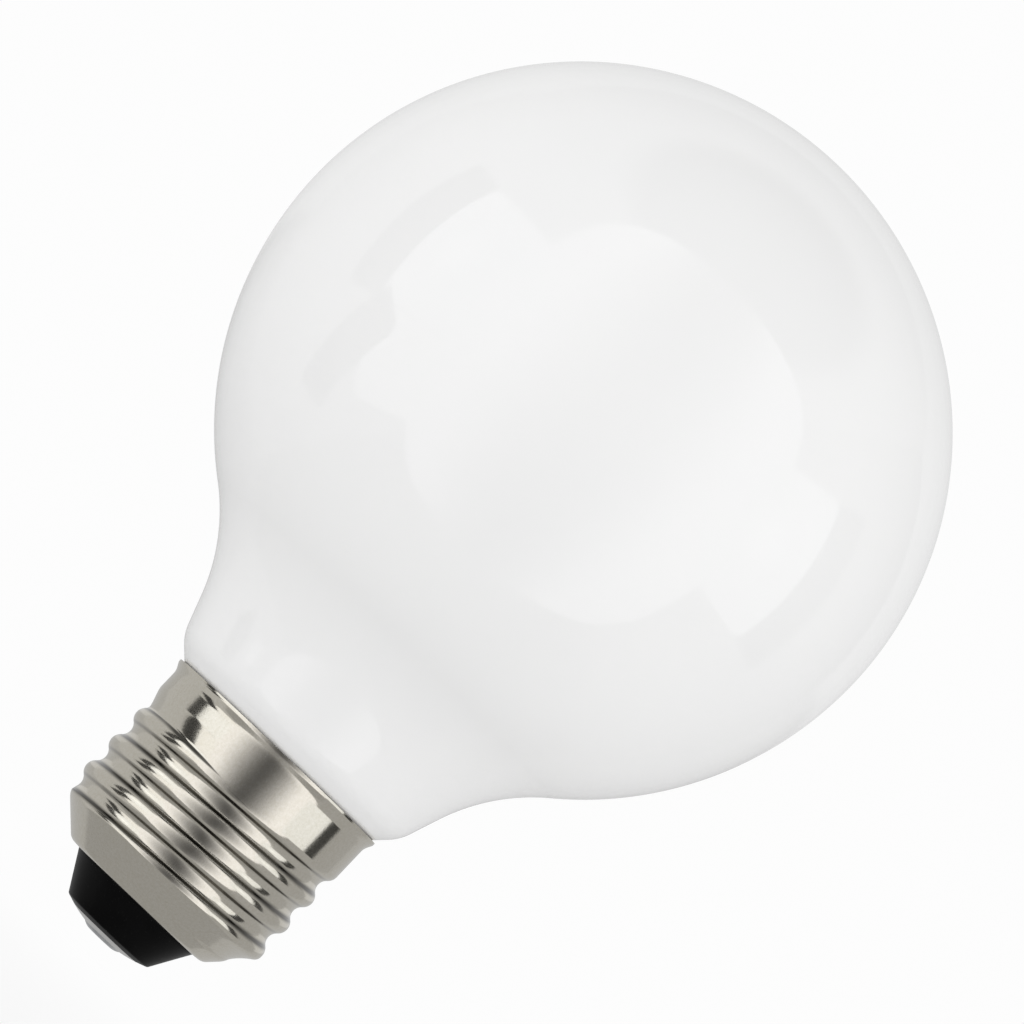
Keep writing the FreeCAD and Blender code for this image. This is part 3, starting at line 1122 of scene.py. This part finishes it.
def seen_share(nodes: Nodes, links: NodeLinks) -> NodeSocket:
    """Tells rays that see a surface from rays that it lights.

    Args:
        nodes: The nodes of a material or a world.
        links: Their links.

    Returns:
        1 for rays from the camera and for reflected and transmitted ones, and 0 for light.
    """
    rays = nodes.new("ShaderNodeLightPath")
    seen = rays.outputs["Is Camera Ray"]
    for name in ("Is Glossy Ray", "Is Transmission Ray"):
        either = nodes.new("ShaderNodeMath")
        either.operation = "MAXIMUM"
        links.new(seen, either.inputs[0])
        links.new(rays.outputs[name], either.inputs[1])
        seen = either.outputs[0]
    return seen


@dataclass
class Studio:
    """The pale floor, the lights, what mirrors show round them and the camera."""

    floor_height: float = -0.016
    floor_size: float = 12.0
    floor_colour: Colour = (0.93, 0.93, 0.93)
    white_reach: Point = (0.06, 0.40)
    white_shares: Point = (0.68, 1.0)
    background: float = 0.98
    ambient: float = 0.87
    room_size: float = 3.2
    room_greys: tuple[float, ...] = (0.58, 0.62, 0.48, 0.42, 0.58)
    back_greys: Point = (0.54, 0.71)
    back_heights: Point = (0.06, 0.16)
    picture: int = 1024
    pixels_per_metre: float = 9865.0
    globe_pixel: Point = (584.3, 429.6)
    camera_distance: float = 0.55
    camera_height: float = 0.017
    axis_above_level: float = math.radians(46.4)
    sensor: float = 36.0
    sight: float = 50.0

    def light_world(self) -> None:
        """Lights the object from all round, and shows white behind it."""
        world = bpy.data.worlds.new("studio_world")
        world.use_nodes = True
        nodes, links = world.node_tree.nodes, world.node_tree.links
        sky = nodes["Background"]
        level = nodes.new("ShaderNodeMapRange")
        links.new(seen_share(nodes, links), level.inputs["Value"])
        level.inputs["To Min"].default_value = self.ambient
        level.inputs["To Max"].default_value = self.background
        links.new(level.outputs["Result"], sky.inputs["Strength"])
        sky.inputs["Color"].default_value = (1, 1, 1, 1)
        bpy.context.scene.world = world

    def lay_floor(self) -> None:
        """Lays a pale floor that keeps the bulb's shadow and turns white away from it."""
        material = bpy.data.materials.new("floor_paper")
        material.use_nodes = True
        nodes, links = material.node_tree.nodes, material.node_tree.links
        nodes.clear()
        paper = nodes.new("ShaderNodeBsdfDiffuse")
        paper.inputs["Color"].default_value = (*self.floor_colour, 1)
        white = nodes.new("ShaderNodeEmission")
        white.inputs["Strength"].default_value = self.background
        place = nodes.new("ShaderNodeTexCoord")
        length = nodes.new("ShaderNodeVectorMath")
        length.operation = "LENGTH"
        away = smooth_ramp(nodes, self.white_reach, self.white_shares)
        share = nodes.new("ShaderNodeMath")
        share.operation = "MULTIPLY"
        mix = nodes.new("ShaderNodeMixShader")
        output = nodes.new("ShaderNodeOutputMaterial")
        links.new(place.outputs["Object"], length.inputs[0])
        links.new(length.outputs["Value"], away.inputs["Value"])
        links.new(away.outputs["Result"], share.inputs[0])
        links.new(seen_share(nodes, links), share.inputs[1])
        links.new(share.outputs[0], mix.inputs["Fac"])
        links.new(paper.outputs[0], mix.inputs[1])
        links.new(white.outputs[0], mix.inputs[2])
        links.new(mix.outputs[0], output.inputs["Surface"])
        deselect_all()
        bpy.ops.mesh.primitive_plane_add(size=self.floor_size, location=(0, 0, self.floor_height))
        floor = bpy.context.active_object
        floor.name = "floor"
        floor.data.materials.append(material)
        floor.visible_glossy = False

    def hang_room(self) -> None:
        """Puts grey walls round the studio that only mirrors show."""
        deselect_all()
        bpy.ops.mesh.primitive_cube_add(size=self.room_size)
        room = bpy.context.active_object
        room.name = "grey_room"
        names = ("room_walls", "room_left", "room_right", "room_floor", "room_ceiling")
        for name, grey in zip(names, self.room_greys):
            room.data.materials.append(steady_glow(name, grey))
        low = -self.room_size / 2
        start, end = (height - low for height in self.back_heights)
        back = glow("room_back", *self.back_greys, start, end, squeeze=(0, 0, 1), middle=(0, 0, low))
        room.data.materials.append(back)
        square_on = 0.5
        for face in room.data.polygons:
            across, along, up = face.normal
            sides = (across < -square_on, across > square_on, up < -square_on, up > square_on)
            face.material_index = 1 + sides.index(True) if True in sides else 0
            if along > square_on:
                face.material_index = len(room.data.materials) - 1
        show_to_mirrors_only(room)

    def place_camera(self, globe_centre: Vector) -> None:
        """Aims the camera, rolled so that the bulb's axis leans as in the picture.

        Args:
            globe_centre: The globe's middle, in metres, which falls on a known pixel.
        """
        roll = math.pi / 2 - self.axis_above_level
        right = Vector((math.cos(roll), 0.0, math.sin(roll)))
        up = Vector((-math.sin(roll), 0.0, math.cos(roll)))
        middle = self.picture / 2
        across = (self.globe_pixel[0] - middle) / self.pixels_per_metre
        above = (middle - self.globe_pixel[1]) / self.pixels_per_metre
        place = Vector((0.0, -self.camera_distance, self.camera_height))
        away = globe_centre - right * across - up * above - place
        data = bpy.data.cameras.new("camera")
        data.sensor_width = self.sensor
        data.lens = self.sensor * away.length * self.pixels_per_metre / self.picture
        camera = bpy.data.objects.new("camera", data)
        bpy.context.scene.collection.objects.link(camera)
        turned = away.to_track_quat("-Z", "Y") @ Quaternion((0, 0, 1), roll)
        camera.matrix_world = Matrix.Translation(place) @ turned.to_matrix().to_4x4()
        data.clip_end = self.sight
        bpy.context.scene.camera = camera

    def build(self, globe_centre: Vector) -> None:
        """Sets up the studio round the bulb.

        Args:
            globe_centre: The globe's middle, in metres.
        """
        self.light_world()
        self.lay_floor()
        self.hang_room()
        FrontLight().build()
        Softbox("softbox_left", side=-1, azimuth=61.0, height=0.120, size=(0.200, 0.232),
                strength=1.36).build()
        Softbox("softbox_right", side=1, azimuth=67.0, height=0.124, size=(0.195, 0.241),
                strength=1.22).build()
        LowLight().build()
        self.place_camera(globe_centre)
        bpy.context.scene.view_settings.view_transform = "Standard"


def main() -> None:
    """Builds the bulb and its studio."""
    logging.basicConfig(level=logging.INFO, format="%(name)s: %(message)s")
    glass_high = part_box("glass_bulb")[1] / MM
    shell_low, shell_high = (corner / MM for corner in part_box("screw_shell"))
    globe_radius = round(glass_high.x, 1)
    glass = GlassEnvelope(crown_height=glass_high.z, globe_radius=globe_radius)
    glass.build()
    lip_radius = round(shell_high.x, 2)
    ScrewCap(rim_height=shell_high.z, lip_radius=lip_radius, floor_height=shell_low.z).build()
    tip = CapTip(floor_height=shell_low.z)
    tip.build_insulator()
    tip.build_contact()
    tip.build_solder()
    joint = RimJoint(lip_radius=lip_radius, rim_height=shell_high.z)
    joint.build_bead()
    joint.dress_hidden()
    globe_middle = Vector((0, 0, glass.crown_height - globe_radius + glass.crown_flattening)) * MM
    Studio().build(globe_middle)
    bpy.context.view_layer.update()


if __name__ == "__main__":
    main()
